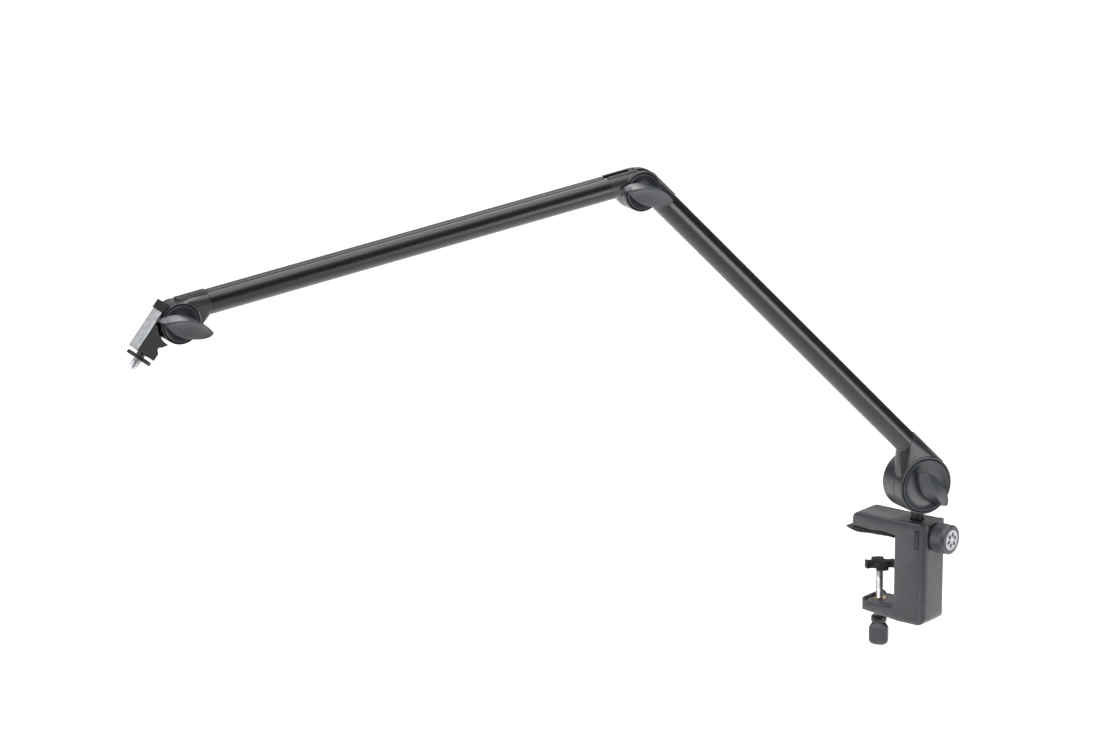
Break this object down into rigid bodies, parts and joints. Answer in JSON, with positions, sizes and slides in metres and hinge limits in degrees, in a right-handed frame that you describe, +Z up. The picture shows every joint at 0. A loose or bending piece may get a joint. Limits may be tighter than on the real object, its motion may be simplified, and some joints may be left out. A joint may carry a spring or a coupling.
{
  "type": "boom microphone stand",
  "caption": "Desk-clamp boom arm with two tubular sections, friction joints with wing knobs, a swivel stem and a tilting head with a threaded stud.",
  "frame": {"origin": "on the underside of the upper jaw pad, where it rests on a desk, on the clamp screw's axis", "axes": "+Z up out of the desk, +X from the clamp screw towards the rear lock knob, -Y the side with the blank inlay"},
  "size_m": [0.42, 0.848, 0.5605],
  "materials": {
    "frame_black": "fine satin powder coat",
    "cover_plastic": "fine-grained moulded",
    "inlay_plastic": "smooth moulded",
    "pad_rubber": "matte",
    "brass": "turned",
    "bright_steel": "bright plated, threaded",
    "zinc_steel": "zinc plated",
    "black_steel": "black oxide",
    "knob_plastic": "satin moulded",
    "knob_disc": "spun satin",
    "tube_black": "black anodised",
    "strip_black": "matte extruded",
    "fitting_black": "satin moulded, glass filled",
    "head_silver": "satin cast",
    "friction_fibre": "pressed fibre",
    "thrust_plastic": "turned"
  },
  "bodies": {
    "clamp": {"clamp_frame": "frame_black", "near_side_cover": "cover_plastic", "far_side_cover": "cover_plastic", "cover_screws": "black_steel", "blank_inlay": "inlay_plastic", "upper_jaw_pad": "pad_rubber", "spindle_bush": "brass", "pivot_bush": "brass", "bottom_plug": "cover_plastic", "thrust_piece": "thrust_plastic"},
    "pressure_pad": {"pressure_pad": "pad_rubber"},
    "clamp_screw": {"clamp_spindle": "bright_steel", "handle_collar": "black_steel", "spindle_handle": "knob_plastic"},
    "lock_knob": {"lock_screw": "bright_steel", "lock_knob_ring": "knob_plastic", "lock_knob_cap": "knob_plastic", "lock_knob_disc": "knob_disc"},
    "swivel": {"swivel_knuckle": "fitting_black", "retaining_ring": "zinc_steel", "base_bolt": "zinc_steel", "base_friction_washer": "friction_fibre"},
    "lower_arm": {"base_fitting": "fitting_black", "lower_tube": "tube_black", "lower_channel_cover": "strip_black", "lower_elbow_fitting": "fitting_black", "lower_fitting_pins": "zinc_steel", "elbow_bolt": "zinc_steel", "elbow_friction_washer": "friction_fibre"},
    "upper_arm": {"upper_elbow_fitting": "fitting_black", "upper_tube": "tube_black", "upper_channel_cover": "strip_black", "head_end_fitting": "fitting_black", "upper_fitting_pins": "zinc_steel"},
    "head": {"head_hub": "fitting_black", "head_bolt": "zinc_steel", "head_friction_washer": "friction_fibre", "head_core": "head_silver", "head_cover": "cover_plastic", "head_cap": "strip_black", "mic_stud": "bright_steel"},
    "lock_nut": {"stud_lock_nut": "black_steel"},
    "base_knob": {"base_wing_knob": "knob_plastic", "base_knob_insert": "brass"},
    "elbow_knob": {"elbow_wing_knob": "knob_plastic", "elbow_knob_insert": "brass"},
    "head_knob": {"head_wing_knob": "knob_plastic", "head_knob_insert": "brass"}
  },
  "joints": [
    {"name": "base_swivel", "type": "hinge", "parent": "clamp", "child": "swivel", "pos_m": [0.046, 0, 0], "axis": [0, 0, 1], "continuous": true},
    {"name": "base_tilt", "type": "hinge", "parent": "swivel", "child": "lower_arm", "pos_m": [0.046, 0, 0.062], "axis": [-0.9107, 0.4131, 0], "range_deg": [-40, 105]},
    {"name": "elbow_fold", "type": "hinge", "parent": "lower_arm", "child": "upper_arm", "pos_m": [-0.09329, -0.30706, 0.41219], "axis": [-0.9107, 0.4131, 0], "range_deg": [-88, 50]},
    {"name": "head_tilt", "type": "hinge", "parent": "upper_arm", "child": "head", "pos_m": [-0.30032, -0.76346, 0.3355], "axis": [-0.9107, 0.4131, 0], "range_deg": [-75, 28]},
    {"name": "lock_nut_turn", "type": "hinge", "parent": "head", "child": "lock_nut", "pos_m": [-0.31726, -0.80081, 0.30282], "axis": [-0.2543, -0.5607, -0.788], "range_deg": [-180, 180]},
    {"name": "base_knob_turn", "type": "hinge", "parent": "lower_arm", "child": "base_knob", "pos_m": [0.046, 0, 0.062], "axis": [0.9107, -0.4131, 0], "range_deg": [-180, 180]},
    {"name": "elbow_knob_turn", "type": "hinge", "parent": "upper_arm", "child": "elbow_knob", "pos_m": [-0.09329, -0.30706, 0.41219], "axis": [0.9107, -0.4131, 0], "range_deg": [-180, 180]},
    {"name": "head_knob_turn", "type": "hinge", "parent": "upper_arm", "child": "head_knob", "pos_m": [-0.30032, -0.76346, 0.3355], "axis": [0.9107, -0.4131, 0], "range_deg": [-180, 180]},
    {"name": "lock_knob_turn", "type": "hinge", "parent": "clamp", "child": "lock_knob", "pos_m": [0.07, 0, 0.0065], "axis": [1, 0, 0], "range_deg": [-180, 180]},
    {"name": "pad_travel", "type": "slide", "parent": "clamp", "child": "pressure_pad", "axis": [0, 0, 1], "range_m": [-0.028, 0.006]},
    {"name": "spindle_turn", "type": "hinge", "parent": "pressure_pad", "child": "clamp_screw", "pos_m": [0, 0, -0.033], "axis": [0, 0, 1], "range_deg": [-8078.4, 1742.4]}
  ],
  "couplings": [
    {"joint": "spindle_turn", "follows": "pad_travel", "rad_per_m": 5026.5}
  ]
}
